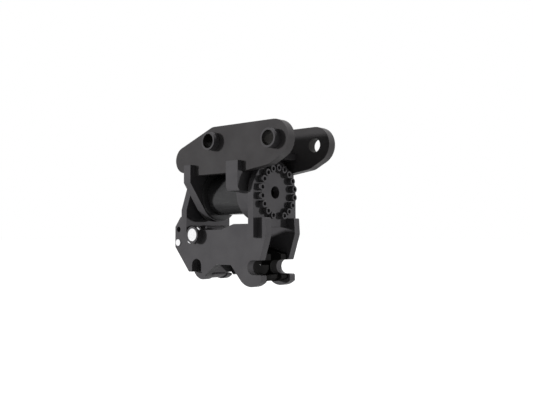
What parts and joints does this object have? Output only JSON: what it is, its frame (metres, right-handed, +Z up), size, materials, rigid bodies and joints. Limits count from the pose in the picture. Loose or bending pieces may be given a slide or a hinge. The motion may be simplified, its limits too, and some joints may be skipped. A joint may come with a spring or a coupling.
{
  "type": "tilting quick coupler",
  "caption": "Tilting quick coupler for an excavator: pinned head with rotary actuator, and a swinging frame with front hook and rear locking jaw.",
  "frame": {"origin": "centre of the front stick-pin bore on the coupler's mid-plane, halfway between the head plates", "axes": "+X to the front hook along the tilt axis, +Y away from the side with the pin collars, +Z up"},
  "size_m": [0.9534, 0.4867, 0.9018],
  "materials": {
    "paint": "satin dark grey paint",
    "dark_steel": "dark phosphated steel",
    "plated_steel": "bright zinc plating",
    "ground_steel": "ground",
    "bronze": "machined",
    "rubber": "matt"
  },
  "bodies": {
    "head": {"head_plate_near": "paint", "head_plate_far": "paint", "rear_pin_collar": "paint", "front_pin_collar": "paint", "head_floor_plate": "paint", "rear_saddle_plate": "paint", "front_saddle_block": "paint", "actuator_housing": "paint", "rear_end_ring": "paint", "front_bearing": "bronze", "rear_bearing": "bronze", "front_seal": "rubber", "rear_seal": "rubber"},
    "tilting_frame": {"actuator_shaft": "dark_steel", "rear_end_flange": "dark_steel", "front_cross_plate": "paint", "rear_cross_plate": "paint", "coupler_plate_near": "paint", "coupler_plate_far": "paint", "front_flange_bolt_01": "paint", "front_flange_bolt_02": "paint", "front_flange_bolt_03": "paint", "front_flange_bolt_04": "paint", "front_flange_bolt_05": "paint", "front_flange_bolt_06": "paint", "front_flange_bolt_07": "paint", "front_flange_bolt_08": "paint", "front_flange_bolt_09": "paint", "front_flange_bolt_10": "paint", "front_flange_bolt_11": "paint", "front_flange_bolt_12": "paint", "front_flange_bolt_13": "paint", "front_flange_bolt_14": "paint", "front_flange_bolt_15": "paint", "front_flange_bolt_16": "paint", "front_flange_bolt_17": "paint", "rear_flange_bolt_01": "paint", "rear_flange_bolt_02": "paint", "rear_flange_bolt_03": "paint", "rear_flange_bolt_04": "paint", "rear_flange_bolt_05": "paint", "rear_flange_bolt_06": "paint", "rear_flange_bolt_07": "paint", "rear_flange_bolt_08": "paint", "hook_doubler_near": "paint", "hook_doubler_far": "paint", "hook_tie_bar": "paint", "rear_seat_plate": "paint", "jaw_pin_collar": "paint", "jaw_pivot_pin": "plated_steel", "jaw_pin_bolt": "plated_steel", "cylinder_anchor_pin": "ground_steel", "lifting_bar": "plated_steel"},
    "piston": {"helical_piston": "ground_steel"},
    "jaw": {"rear_jaw": "paint", "jaw_lever_pin": "ground_steel"},
    "barrel": {"cylinder_barrel": "paint", "cylinder_gland": "dark_steel"},
    "rod": {"cylinder_rod": "ground_steel"}
  },
  "joints": [
    {"name": "tilt", "type": "hinge", "parent": "head", "child": "tilting_frame", "pos_m": [0, 0, -0.2668], "axis": [1, 0, 0], "range_deg": [-45, 45]},
    {"name": "piston_slide", "type": "slide", "parent": "head", "child": "piston", "axis": [1, 0, 0], "range_m": [-0.08, 0.08]},
    {"name": "jaw_open", "type": "hinge", "parent": "tilting_frame", "child": "jaw", "pos_m": [-0.653, 0, -0.503], "axis": [0, 1, 0], "range_deg": [0, 28]},
    {"name": "barrel_swing", "type": "hinge", "parent": "tilting_frame", "child": "barrel", "pos_m": [-0.285, 0, -0.61], "axis": [0, 1, 0], "range_deg": [-5, 0.2]},
    {"name": "rod_stroke", "type": "slide", "parent": "barrel", "child": "rod", "axis": [-0.986, 0, 0.1665], "range_m": [-0.001, 0.0295]}
  ],
  "couplings": [
    {"joint": "piston_slide", "follows": "tilt", "m_per_rad": 0.1},
    {"joint": "barrel_swing", "follows": "jaw_open", "ratio": -0.17079},
    {"joint": "rod_stroke", "follows": "jaw_open", "m_per_rad": 0.058342}
  ]
}
